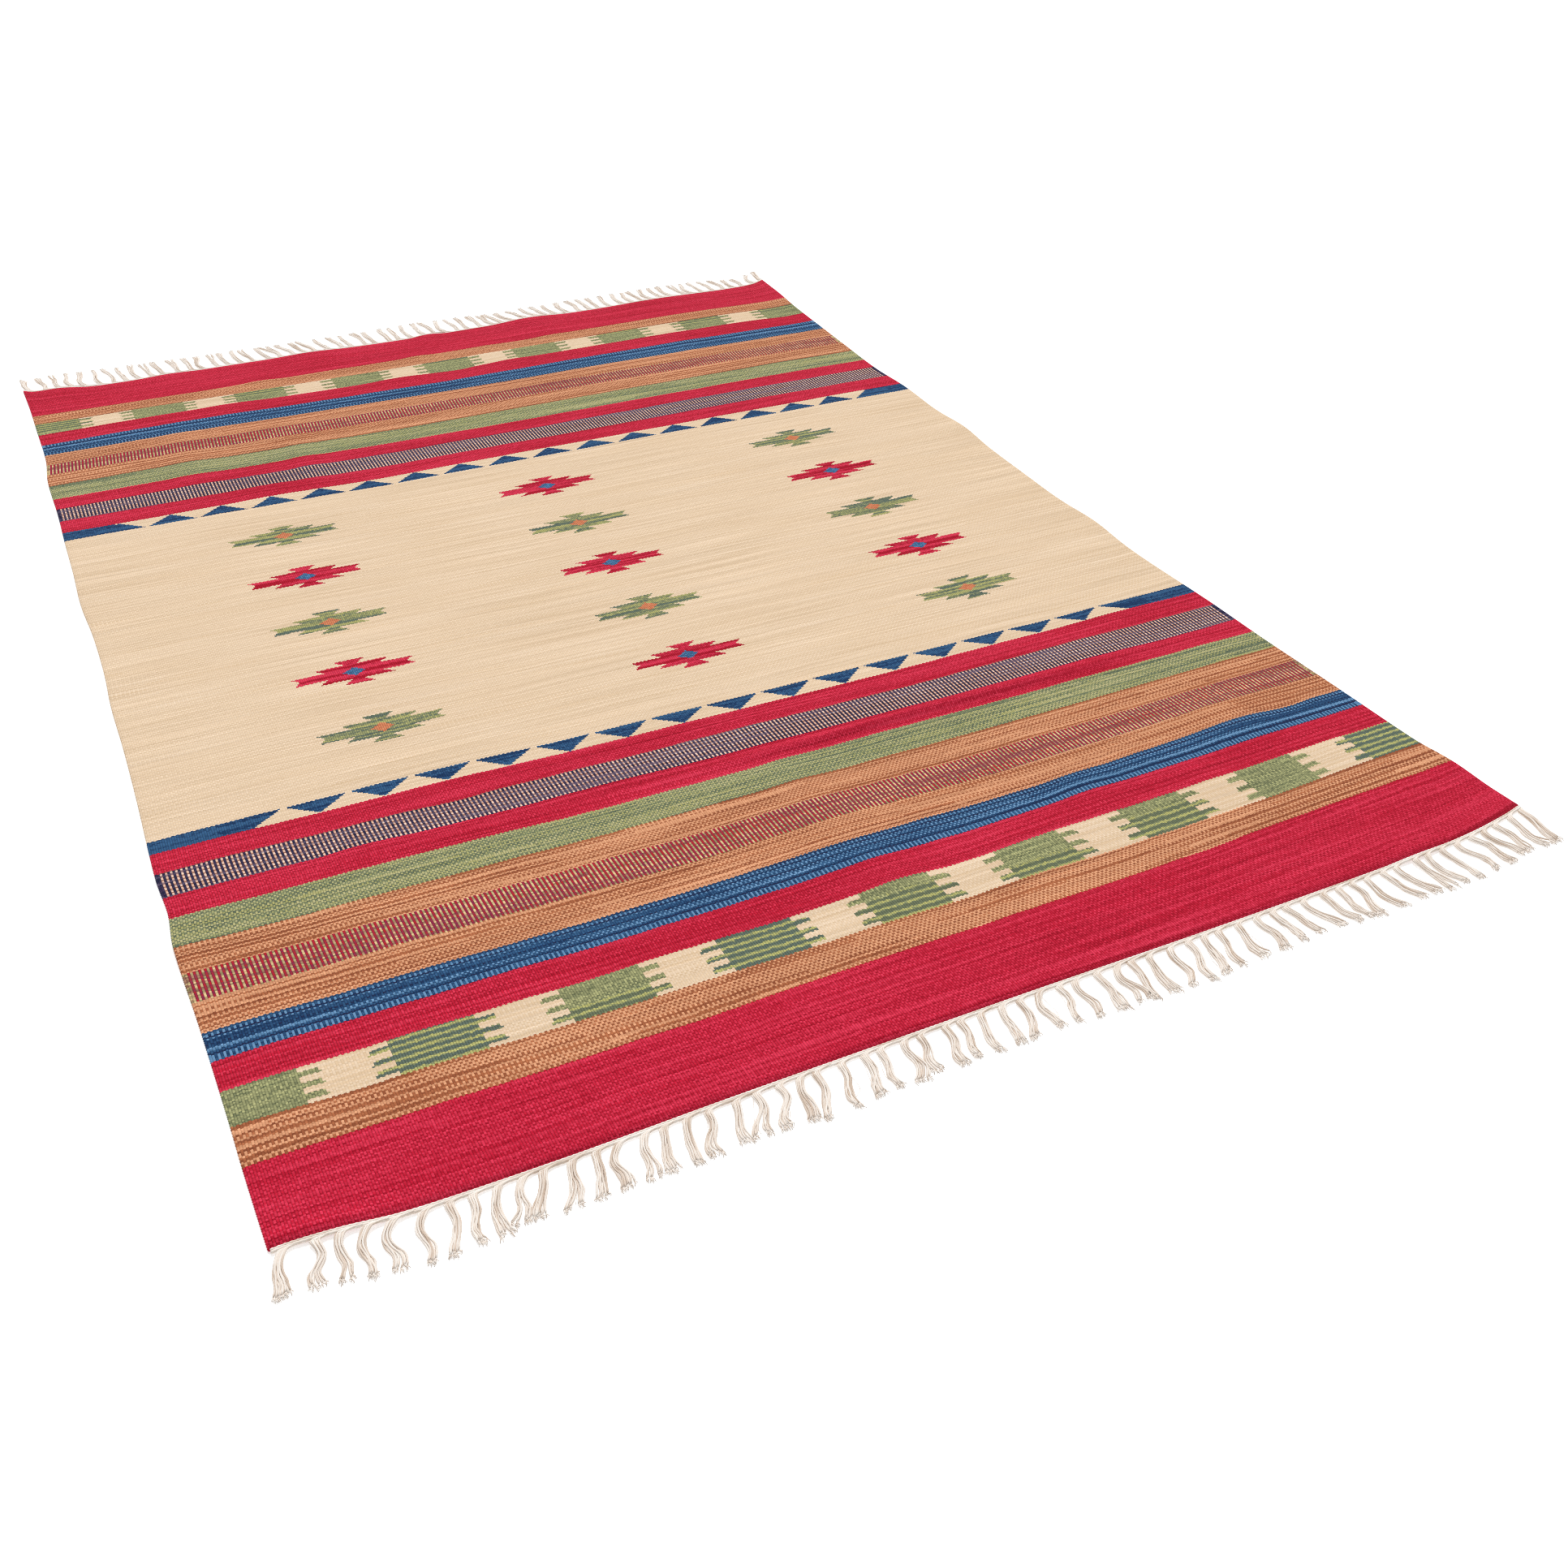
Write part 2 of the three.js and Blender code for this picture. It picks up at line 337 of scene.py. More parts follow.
def end_line(x, outward):
    """The line where the woven cloth ends. outward is -1 at the near end and 1 at the far end."""
    name = "near" if outward < 0 else "far"
    return outward * (CLOTH_LENGTH / 2 + along(END_EDGES, "x", name, x / MM) * MM)


def side_lines(y):
    """The left and right edge of the cloth."""
    left = -CLOTH_WIDTH / 2 - along(SIDE_EDGES, "y", "left", y / MM) * MM
    right = CLOTH_WIDTH / 2 + along(SIDE_EDGES, "y", "right", y / MM) * MM
    return left, right


def cloth_point(column, share):
    """The plan's x and y from a column of the plain rectangle and the share of the way to the far end."""
    near = end_line(column, -1)
    far = end_line(column, 1)
    y = near + (far - near) * share
    left, right = side_lines(y)
    return left + (right - left) * (column / CLOTH_WIDTH + 0.5), y


def pick_at(x, y):
    """The pick woven at a point of the plan, counted from the middle of the rug and signed like y."""
    y -= swell(WEFT_BENDS, "shift", x, y)
    far_field = along(FAR_LINES, "x", "field", x / MM)
    near_field = along(NEAR_LINES, "x", "field", x / MM)
    middle = (far_field - near_field) / 2 * MM
    outward = -1 if y < middle else 1
    table = NEAR_LINES if outward < 0 else FAR_LINES
    stops = [(middle, 0)]
    for name, pick in LINE_PICKS.items():
        stops.append((outward * along(table, "x", name, x / MM) * MM, pick))
    stops.append((end_line(x, outward), LAST_PICK))
    for (start, first), (end, last) in zip(stops, stops[1:]):
        if (y - end) * outward <= 0 or last == LAST_PICK:
            return outward * (first + (last - first) * (y - start) / (end - start))


def linear(red, green, blue):
    """A colour given as it looks on a screen, 0 to 255, as Blender's linear colour."""
    def channel(value):
        share = value / 255
        return share / 12.92 if share <= 0.04045 else ((share + 0.055) / 1.055) ** 2.4

    return (channel(red), channel(green), channel(blue), 1.0)


class Wire:
    """A number or colour that a material works out at each point. Sums of wires read as plain sums."""

    def __init__(self, nodes, socket):
        self.nodes = nodes
        self.socket = socket

    def math(self, operation, *others, clamp=False):
        node = self.nodes.tree.nodes.new("ShaderNodeMath")
        node.operation = operation
        node.use_clamp = clamp
        for entry, value in zip(node.inputs, (self, *others)):
            self.nodes.feed(entry, value)
        return Wire(self.nodes, node.outputs[0])

    def __rsub__(self, other):
        return self.nodes.number(other).math("SUBTRACT", self)

    def step(self, middle, softness):
        """0 well under middle and 1 well over it, with a straight rise of width softness."""
        return ((self - middle) / softness).math("ADD", 0.5, clamp=True)


# What the plain operators, and a few by name, mean for wires
OPERATIONS = {
    "__add__": "ADD", "__radd__": "ADD", "__sub__": "SUBTRACT", "__mul__": "MULTIPLY", "__rmul__": "MULTIPLY",
    "__truediv__": "DIVIDE", "__lt__": "LESS_THAN", "__gt__": "GREATER_THAN", "__and__": "MULTIPLY",
    "__or__": "MAXIMUM", "__abs__": "ABSOLUTE", "floor": "FLOOR", "fraction": "FRACT",
    "modulo": "FLOORED_MODULO", "least": "MINIMUM", "most": "MAXIMUM", "root": "SQRT",
}
for method, operation in OPERATIONS.items():
    setattr(Wire, method, lambda self, *others, operation=operation: self.math(operation, *others))


class Nodes:
    """A material's node tree, with short ways to add what the rug's materials use."""

    def __init__(self, name):
        self.material = bpy.data.materials.new(name)
        self.material.use_nodes = True
        self.tree = self.material.node_tree
        self.shader = self.tree.nodes["Principled BSDF"]

    def feed(self, entry, value):
        if isinstance(value, Wire):
            self.tree.links.new(value.socket, entry)
        else:
            entry.default_value = value

    def number(self, value):
        node = self.tree.nodes.new("ShaderNodeValue")
        node.outputs[0].default_value = value
        return Wire(self, node.outputs[0])

    def set(self, **values):
        """Sets sockets of the shader that are the same all over, by their names with _ for each space."""
        for name, value in values.items():
            self.shader.inputs[name.replace("_", " ")].default_value = value

    def map_point(self, name):
        node = self.tree.nodes.new("ShaderNodeUVMap")
        node.uv_map = name
        parts = self.tree.nodes.new("ShaderNodeSeparateXYZ")
        self.tree.links.new(node.outputs["UV"], parts.inputs[0])
        return Wire(self, parts.outputs["X"]), Wire(self, parts.outputs["Y"])

    def vector(self, x, y, z=0.0):
        node = self.tree.nodes.new("ShaderNodeCombineXYZ")
        for entry, value in zip(node.inputs, (x, y, z)):
            self.feed(entry, value)
        return node.outputs[0]

    def noise(self, x, y, z=0.0, detail=1.0):
        """Smooth noise around 0.5, that changes fully over a step of 1."""
        node = self.tree.nodes.new("ShaderNodeTexNoise")
        node.inputs["Scale"].default_value = 1
        node.inputs["Detail"].default_value = detail
        self.tree.links.new(self.vector(x, y, z), node.inputs["Vector"])
        return Wire(self, node.outputs[0])

    def random(self, x, y, z=0.0):
        """An even random number from 0 to 1 for each point given."""
        node = self.tree.nodes.new("ShaderNodeTexWhiteNoise")
        self.tree.links.new(self.vector(x, y, z), node.inputs["Vector"])
        return Wire(self, node.outputs["Value"])

    def ramp(self, at, stops):
        """A stepped ramp: colour and fourth value, from the stops' places between 0 and 1."""
        node = self.tree.nodes.new("ShaderNodeValToRGB")
        ramp = node.color_ramp
        ramp.interpolation = "CONSTANT"
        ramp.elements.remove(ramp.elements[1])
        ramp.elements[0].position = 0
        ramp.elements[0].color = stops[0][1]
        for place, colour in stops[1:]:
            ramp.elements.new(place).color = colour
        self.feed(node.inputs[0], at)
        return Wire(self, node.outputs["Color"]), Wire(self, node.outputs["Alpha"])

    def mix(self, share, first, second):
        node = self.tree.nodes.new("ShaderNodeMix")
        node.data_type = "RGBA"
        node.clamp_factor = True
        self.feed(node.inputs[0], share)
        self.feed(node.inputs[6], first)
        self.feed(node.inputs[7], second)
        return Wire(self, node.outputs[2])

    def scaled(self, colour, factor):
        node = self.tree.nodes.new("ShaderNodeVectorMath")
        node.operation = "SCALE"
        self.feed(node.inputs[0], colour)
        self.feed(node.inputs["Scale"], factor)
        return Wire(self, node.outputs[0])

    def bump(self, height, distance):
        node = self.tree.nodes.new("ShaderNodeBump")
        node.inputs["Strength"].default_value = 1
        node.inputs["Distance"].default_value = distance
        self.feed(node.inputs["Height"], height)
        self.feed(self.shader.inputs["Normal"], Wire(self, node.outputs[0]))


# The yarns, as they look in daylight
RED = linear(198, 29, 56)
RED_LIGHT = linear(222, 56, 84)
RED_DEEP = linear(174, 16, 42)
WINE = linear(134, 36, 70)
TAN = linear(213, 148, 109)
TAN_LIGHT = linear(227, 165, 125)
BROWN = linear(146, 80, 52)
BROWN_LIGHT = linear(178, 108, 72)
YELLOW_GREEN = linear(186, 184, 116)
MID_GREEN = linear(140, 146, 106)
GREY_GREEN = linear(100, 112, 92)
DARK_GREEN = linear(98, 112, 100)
MOTTLE_DARK = linear(112, 118, 86)
MOTTLE_LIGHT = linear(178, 178, 126)
OLIVE = linear(176, 174, 112)
PALE_GREEN = linear(186, 180, 134)
NAVY = linear(28, 58, 98)
DARK_NAVY = linear(34, 38, 70)
PLUM = linear(64, 52, 80)
DULL_MAUVE = linear(106, 94, 120)
DULL_WINE = linear(140, 60, 74)
CRIMSON = linear(194, 38, 52)
MID_BLUE = linear(54, 94, 134)
SOFT_BLUE = linear(84, 128, 168)
LIGHT_BLUE = linear(116, 158, 197)
CREAM = linear(226, 199, 167)
CREAM_LIGHT = linear(232, 209, 182)
CREAM_DEEP = linear(219, 190, 154)
PEACH = linear(232, 182, 156)
PINK_CREAM = linear(240, 208, 188)
KHAKI = linear(156, 138, 98)
SAND = linear(222, 192, 142)
RUST = linear(140, 78, 54)
ORANGE = linear(212, 122, 84)
YARN_LIGHT = linear(248, 241, 233)
YARN_DEEP = linear(233, 218, 204)
# A darker tan: the tone of some stretches of yarn, and also the colour of the painted shade on the fringe
# yarns
YARN_TAN_AND_SHADE = linear(196, 172, 150)

# For each kind of weaving: the two tones of its first and second yarn; how many picks in three are of the
# second yarn (4: every other pick, which makes lengthwise columns) and how much that varies, or for columns
# 1 where dull wefts cross them; how dark the painted shade in the gaps between beads is, which also sets how
# deep the bump makes them; and how much the beads differ
KINDS = named_rows(
    ("kind", "first", "first_too", "second", "second_too", "laid", "varied", "gap_shade_and_depth", "speckle"),
    ("field", CREAM, CREAM_LIGHT, CREAM_DEEP, CREAM, 1, 0.4, 0.05, 0.08),
    ("red", RED, RED_LIGHT, RED_DEEP, RED, 0.95, 0.9, 0.26, 0.22),
    ("navy_check", PEACH, PINK_CREAM, DARK_NAVY, PLUM, 4, 1, 0.3, 0.3),
    ("green", GREY_GREEN, MID_GREEN, OLIVE, PALE_GREEN, 1.5, 1, 0.25, 0.25),
    ("tan", TAN, TAN_LIGHT, BROWN, BROWN_LIGHT, 1, 0.7, 0.16, 0.2),
    ("red_check", CRIMSON, WINE, KHAKI, SAND, 4, 1, 0.28, 0.35),
    ("navy", NAVY, DARK_NAVY, MID_BLUE, NAVY, 0.6, 0.5, 0.3, 0.3),
    ("blue_dashes", NAVY, MID_BLUE, LIGHT_BLUE, SOFT_BLUE, 4, 0, 0.25, 0.3),
    ("blue_dots", NAVY, MID_BLUE, SOFT_BLUE, LIGHT_BLUE, 1, 0.5, 0.25, 0.2),
    ("tan_dots", TAN, TAN_LIGHT, BROWN, BROWN_LIGHT, 1.15, 0.5, 0.16, 0.2),
)
KINDS["triangles"] = KINDS["field"]
KINDS["combs"] = KINDS["field"]
COLUMNS = 4
RUST_EVERY = 3

# The brown lines of the tan bands, which run in from both side edges and break up into dots
LINE_EVERY = 7.4
LINE_SHARE = 0.36
LINES_END_LEFT = -0.52
LINES_START_RIGHT = 0.3
LINES_FADE = 0.35

# The stepped stars of the field, in metres from each star's middle
STAR_COLUMNS = (-0.4975, -0.0075, 0.512)
STAR_MIDDLE = 0.008
STAR_SLOPE = 0.0081
STAR_PITCH = 0.1652
STAR_ROWS = 5
STAR_TIERS = rows_of(
    ("top", "notch", "horn"),
    (0.0108, 0.083, 0.094),
    (0.0222, 0.0425, 0.058),
    (0.0357, 0.009, 0.0235),
)
STAR_HEART = {"across": 0.018, "along": 0.0122}

# The comb blocks. A tooth's first pick is TOOTH_LENGTH long, and each next one TOOTH_SLANT longer.
COMB_MIDDLE = -0.005
COMB_PITCH = 0.2032
COMB_HALF = 0.0508
TOOTH_LENGTH = 0.0215
TOOTH_SLANT = 0.00047
TOOTH_START = 6.5
TOOTH_PITCH = 15.6
TOOTH_PICKS = 7.5
TOOTH_COUNT = 3
STRIPE_PICKS = 9.3

# How much of each comb block is mottled, as a share of its depth from the field's side. The rest is striped.
COMB_BLOCKS = rows_of(
    ("block", "near", "far"),
    (-4, 1.0, 0.2),
    (-3, 0.0, 1.0),
    (-2, 0.6, 0.6),
    (-1, 0.0, 1.0),
    (0, 0.3, 0.8),
    (1, 0.6, 1.0),
    (2, 0.35, 0.8),
    (3, 1.0, 0.6),
    (4, 0.0, 0.7),
)

# The triangles at the field's edges
TRIANGLE_PICKS = 26.3
TRIANGLE_PITCH = 0.0893
TRIANGLE_HALF = 0.0415
NEAR_TRIANGLES = {"middle": -0.0015, "solid_past": 0.7134}
FAR_TRIANGLES = {"middle": 0.0485, "solid_past": 0.7610}

# The plain strip down each side of the two check bands
SELVEDGE = 0.007

RAMP_STEPS = 256
RAMP_PICKS = 3

# The slow changes in the dye and in the laying of the picks: how fast each runs along X and by pick, its own
# seed, and its detail
DRIFTS = named_rows(
    ("name", "across", "by_pick", "seed", "detail"),
    ("yarn", 3.0, 0.33, 9.0, 2.0),
    ("patch", 5.0, 0.03, 17.0, 2.0),
    ("laying", 1.7, 0.77, 3.0, 1.0),
    ("lines", 1.4, 0.05, 12.0, 1.0),
    ("crossing", 1.6, 0.8, 31.0, 1.0),
    ("streak", 2.2, 0.14, 22.0, 2.0),
    ("mottle", 8.0, 0.7, 4.0, 1.0),
)


def drift(nodes, name, x, pick):
    """A slow change around 0.5, at a place across the rug and a pick."""
    row = DRIFTS[name]
    return nodes.noise(x * row["across"], pick * row["by_pick"], row["seed"], detail=row["detail"])


def band_ramp(nodes, pick, colour, number, whole=1):
    """A stepped ramp over the bands: the colour and the number in each kind's row, as a part of the whole."""
    first = BANDS[1]["start"] - RAMP_PICKS
    stops = []
    for band in BANDS:
        step = max(0, (band["start"] - first) / RAMP_PICKS)
        row = KINDS[band["kind"]]
        stops.append((max(0, step - 0.5) / RAMP_STEPS, (*row[colour][:3], row[number] / whole)))
    at = (((pick - first) / RAMP_PICKS).floor() + 0.25) / RAMP_STEPS
    return nodes.ramp(at, stops)


def bead_grid(nodes):
    """The weave at the point being shaded: a bead is one warp wide and two picks tall."""
    x, y = nodes.map_point("weave")
    column = (x / CLOTH_WIDTH + 0.5) * WARP_COUNT
    warp = column.floor()
    side = warp.modulo(2)
    pair = (y / PICK - side + (nodes.random(warp, 7.0) - 0.5) * 0.6) * 0.5 + 0.5
    pick = pair.floor() * 2 + side
    return {
        "side": side,
        "across": column - warp,
        "along": pair.fraction(),
        "pick": pick,
        "outward": abs(pick),
        "far": pick > 0.0,
        "chance": nodes.random(warp, pick, 2.0),
        "x": ((warp + 0.5) / WARP_COUNT - 0.5) * CLOTH_WIDTH,
    }


def bead_height(grid):
    """How proud the yarn stands inside its bead, from 0 between beads to 1 in the middle."""
    across = grid["across"] * 2 - 1
    lengthwise = grid["along"] * 2 - 1
    return (1 - (across * across * 0.92 + lengthwise * lengthwise * 0.3)).most(0.0).root()


def star_masks(x, y):
    """Where a star is, where its heart is, and where the star is a red one."""
    middle = STAR_COLUMNS[1]
    away = abs(x - middle)
    for column in (STAR_COLUMNS[0], STAR_COLUMNS[2]):
        away = away.least(abs(x - column))
    steps = (y - x * STAR_SLOPE - STAR_MIDDLE) / STAR_PITCH + 0.5
    row = steps.floor()
    height = abs(steps - row - 0.5) * STAR_PITCH
    star = None
    base = 0.0
    for tier in STAR_TIERS:
        rise = (tier["horn"] - tier["notch"]) / (tier["top"] - base)
        inside = (away < (height - base) * rise + tier["notch"]) & (height < tier["top"])
        if base:
            inside = inside & (height > base)
        star = inside if star is None else star | inside
        base = tier["top"]
    star = star & (abs(row) < STAR_ROWS / 2)
    heart = (away / STAR_HEART["across"] + height / STAR_HEART["along"]) < 1.0
    central = abs(x - middle) < STAR_PITCH
    red = (row.modulo(2) + central).modulo(2)
    return star, heart, red


def comb_mask(x, pick):
    """Where the comb blocks and their teeth are, and the number of the block."""
    blocks = (x - COMB_MIDDLE) / COMB_PITCH + 0.5
    block = blocks.floor()
    away = abs(blocks - block - 0.5) * COMB_PITCH
    rank = pick - (BAND_START["combs"] + TOOTH_START)
    rise = rank.modulo(TOOTH_PITCH)
    half_depth = TOOTH_PITCH * TOOTH_COUNT / 2
    tooth = (rise < TOOTH_PICKS) & (abs(rank - half_depth) < half_depth)
    reach = tooth * (TOOTH_LENGTH + rise * TOOTH_SLANT) + COMB_HALF
    return away < reach, block


def triangle_mask(x, pick, far):
    """Where the triangles and the plain lengths beside the selvedges are, and the number of the triangle."""
    middle = far * (FAR_TRIANGLES["middle"] - NEAR_TRIANGLES["middle"]) + NEAR_TRIANGLES["middle"]
    past = far * (FAR_TRIANGLES["solid_past"] - NEAR_TRIANGLES["solid_past"]) + NEAR_TRIANGLES["solid_past"]
    places = (x - middle) / TRIANGLE_PITCH + 0.5
    number = places.floor()
    away = abs(places - number - 0.5) * TRIANGLE_PITCH
    half = (1 - (pick - BAND_START["triangles"]) / TRIANGLE_PICKS) * TRIANGLE_HALF
    return (away < half) | (abs(x) > past), number


def within(outward, first, last=None):
    """Where a pick lies between the start of one kind of band and the end of the same or another kind."""
    return (outward > BAND_START[first] - 0.5) & (outward < BAND_END[last or first] - 0.5)


def second_yarn(nodes, grid, laid, varied):
    """Where a bead is of its band's second yarn, and where dull wefts cross the columns of a check."""
    x = grid["x"]
    pick = grid["pick"]
    outward = grid["outward"]
    edge = abs(x) > CLOTH_WIDTH / 2 - SELVEDGE
    repeat = (pick / 3).floor()
    laying = drift(nodes, "laying", x, repeat)

    # The brown lines of the tan bands
    in_line = (outward / LINE_EVERY).fraction() < LINE_SHARE
    wander = (laying - 0.5) * 0.9
    lined = (wander + LINES_END_LEFT - x).step(0.0, LINES_FADE)
    lined = lined | (wander + x - LINES_START_RIGHT).step(0.0, LINES_FADE)
    lined = lined | drift(nodes, "lines", x, outward).step(0.54, 0.08)
    extra = (in_line * 2.0 - 0.3) * lined * within(outward, "tan", "tan_dots")

    count = laid * COLUMNS + (laying - 0.5) * varied * 7.0 + extra
    in_columns = laid > 0.9
    second = (in_columns & (grid["side"] | edge)) | ((pick.modulo(3) + 0.5 < count) & (1 - in_columns))
    crossed = (drift(nodes, "crossing", x, repeat) > 0.56) & in_columns & varied
    return second, crossed


def plain_weaving(nodes, grid):
    """The bands' colour, how dark the painted shade in the gaps between beads is, how much beads differ, and
    the yarn's tone.
    """
    x = grid["x"]
    pick = grid["pick"]
    outward = grid["outward"]
    chance = grid["chance"]
    first, laid = band_ramp(nodes, outward, "first", "laid", COLUMNS)
    first_too, varied = band_ramp(nodes, outward, "first_too", "varied")
    second, gap_shade_and_depth = band_ramp(nodes, outward, "second", "gap_shade_and_depth")
    second_too, speckle = band_ramp(nodes, outward, "second_too", "speckle")

    # The yarn of each pick drifts slowly along it, and in places the rug has soft patches
    yarn = drift(nodes, "yarn", x, pick)
    patch = drift(nodes, "patch", x, pick)
    shade = (yarn * 0.7 + patch * 0.3 + (chance - 0.5) * speckle).step(0.5, 0.32)
    in_second, crossed = second_yarn(nodes, grid, laid, varied)
    ground = nodes.mix(in_second, nodes.mix(shade, first, first_too), nodes.mix(shade, second, second_too))

    # Rust-coloured beads part the cream ones in the navy check
    edge = abs(x) > CLOTH_WIDTH / 2 - SELVEDGE
    navy_check = within(outward, "navy_check")
    rust = ((pick / 2).floor().modulo(RUST_EVERY) < 0.5) & (1 - grid["side"]) & navy_check & (1 - edge)
    ground = nodes.mix(rust * 0.8, ground, RUST)
    ground = nodes.mix(crossed * 0.55, ground, nodes.mix(navy_check, DULL_WINE, DULL_MAUVE))
    return ground, gap_shade_and_depth, speckle, yarn


def add_stars(nodes, grid, ground):
    """The colour with the stars in it, and where they are."""
    chance = grid["chance"]
    star, heart, red = star_masks(grid["x"], grid["pick"] * PICK)
    star = star & (grid["outward"] < float(BAND_START["triangles"]))
    streak = (drift(nodes, "streak", grid["x"], grid["pick"]) + (chance - 0.5) * 0.1).step(0.5, 0.16)
    green_tone = nodes.mix(streak, DARK_GREEN, OLIVE)
    red_tone = nodes.mix(streak, RED_DEEP, RED_LIGHT)
    blue_heart = nodes.mix(chance, MID_BLUE, SOFT_BLUE)
    orange_heart = nodes.mix(chance * 0.6, ORANGE, TAN)
    body = nodes.mix(red, green_tone, red_tone)
    colour = nodes.mix(heart, body, nodes.mix(red, orange_heart, blue_heart))
    return nodes.mix(star, ground, colour), star


def mottled_share(nodes, block, far):
    """How much of a comb block is mottled, read from the table by the block's number and the rug's end."""
    first = COMB_BLOCKS[0]["block"]
    shares = []
    for end in ("near", "far"):
        stops = []
        for row in COMB_BLOCKS:
            place = max(0, row["block"] - first - 0.5) / RAMP_STEPS
            stops.append((place, (0, 0, 0, row[end])))
        shares.append(nodes.ramp((block - first + 0.25) / RAMP_STEPS, stops)[1])
    return shares[0] + (shares[1] - shares[0]) * far


def add_combs(nodes, grid, ground):
    """The colour with the comb blocks in it, and where they are."""
    outward = grid["outward"]
    chance = grid["chance"]
    comb, block = comb_mask(grid["x"], outward)
    comb = comb & within(outward, "combs")
    start = nodes.random(block, grid["far"])
    swing = abs((outward / STRIPE_PICKS + start).fraction() - 0.5) * 4 - 1 + (chance - 0.5) * 0.7
    fine = drift(nodes, "mottle", grid["x"], grid["pick"])
    mottle = nodes.mix((chance * 0.15 + fine * 0.85).step(0.5, 0.3), MOTTLE_DARK, MOTTLE_LIGHT)
    part = mottled_share(nodes, block, grid["far"])
    deep = nodes.mix((part > 0.05) * 0.65, DARK_GREEN, MOTTLE_DARK)
    striped = nodes.mix(swing > -0.05, nodes.mix(swing > -0.4, YELLOW_GREEN, MID_GREEN), deep)
    depth = (outward - BAND_START["combs"]) / (BAND_END["combs"] - BAND_START["combs"])
    mottled = (part * 1.1 - depth + (chance - 0.5) * 0.1).step(0.05, 0.04)
    return nodes.mix(comb, ground, nodes.mix(mottled, striped, mottle)), comb


def add_triangles(nodes, grid, ground):
    """The colour with the triangles in it, and where they are."""
    outward = grid["outward"]
    triangle, number = triangle_mask(grid["x"], outward, grid["far"])
    triangle = triangle & within(outward, "triangles")

    # Each triangle, and each end of the rug, has its own stretch of the noise
    lot = nodes.noise(number * 3.7 + grid["far"] * 20.0, grid["pick"] * 0.21, 5.0)
    tone = (lot + (grid["chance"] - 0.5) * 0.2).step(0.5, 0.2)
    return nodes.mix(triangle, ground, nodes.mix(tone, NAVY, MID_BLUE)), triangle


def cloth_material():
    """Dyed cotton wefts over cotton warps. Each bead takes the colour of its own pick."""
    nodes = Nodes("woven_cotton_dyed")
    grid = bead_grid(nodes)
    chance = grid["chance"]
    height = bead_height(grid)
    ground, gap_shade_and_depth, speckle, yarn = plain_weaving(nodes, grid)
    ground, star = add_stars(nodes, grid, ground)
    ground, comb = add_combs(nodes, grid, ground)
    ground, triangle = add_triangles(nodes, grid, ground)

    # Each bead is a little lighter or darker, and painted shade darkens the gaps between beads; both are
    # stronger in the motifs
    motif = (star | comb | triangle) * 0.25
    gap_shade_and_depth = gap_shade_and_depth | motif
    speckle = speckle | motif
    glow = (chance - 0.5) * speckle * 0.7 + (yarn - 0.5) * 0.5 + 1.0
    # Painted shade: each bead's colour darkens towards its edges, in the gaps between beads
    painted_gap_shade = 1 - (1 - height) * gap_shade_and_depth * 1.6
    nodes.feed(nodes.shader.inputs["Base Color"], nodes.scaled(ground, glow * painted_gap_shade))
    nodes.set(Roughness=0.92, Specular_IOR_Level=0.05, Sheen_Weight=0.02, Sheen_Roughness=0.6)
    nodes.bump((height + chance * 0.2) * (gap_shade_and_depth * 2.4 + 0.25), 0.6 * MM)
    return nodes.material


def yarn_material():
    """Undyed two-ply cotton, a warm off-white with slubs, with painted shade down the sides of each yarn and
    in its ply grooves.
    """
    nodes = Nodes("fringe_yarn_greige")
    place, turn = nodes.map_point("yarn")
    tone = nodes.noise(place * 9.0, 2.0, 8.0, detail=2.0)
    slub = nodes.noise(place * 110.0, turn * 1.3, 1.0, detail=2.0)
    groove = abs((place / PLY_LENGTH + turn * 2.0).fraction() - 0.5) * 2.0
    painted_flank_shade = abs(turn - 0.5) * 2.0
    colour = nodes.mix((slub * 0.4 + tone * 0.6).step(0.5, 0.2), YARN_LIGHT, YARN_DEEP)
    # Some stretches of yarn are a darker tan
    colour = nodes.mix(tone.step(0.6, 0.16) * 0.75, colour, YARN_TAN_AND_SHADE)
    # Painted shade down the sides of each yarn, where it lies against its neighbours
    colour = nodes.mix(painted_flank_shade.step(0.8, 0.5) * 0.55, colour, YARN_TAN_AND_SHADE)
    # Painted shade in the grooves between the plies
    colour = nodes.mix(groove.step(0.9, 0.25) * 0.12, colour, YARN_TAN_AND_SHADE)
    nodes.feed(nodes.shader.inputs["Base Color"], colour)
    nodes.set(Roughness=0.9, Specular_IOR_Level=0.1, Sheen_Weight=0.08)
    nodes.bump(1 - groove, 0.08 * MM)
    return nodes.material


def floor_material():
    """A plain pale floor."""
    nodes = Nodes("pale_floor")
    nodes.set(Base_Color=(0.85, 0.85, 0.85, 1), Roughness=0.9, Specular_IOR_Level=0.1)
    nodes.set(Emission_Color=(1, 1, 1, 1), Emission_Strength=0.4)
    return nodes.material


def plan_shift():
    """The shift from the plan to the frame. It brings the plan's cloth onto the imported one."""
    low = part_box("rug_cloth")[0]
    columns = [-CLOTH_WIDTH / 2 + CLOTH_WIDTH * i / 200 for i in range(201)]
    shares = [i / 400 for i in range(401)]
    left = min(cloth_point(-CLOTH_WIDTH / 2, share)[0] for share in shares)
    near = min(end_line(column, -1) for column in columns)
    return low[0] - left, low[1] - near


def add_object(name, data):
    thing = bpy.data.objects.new(name, data)
    bpy.context.scene.collection.objects.link(thing)
    return thing


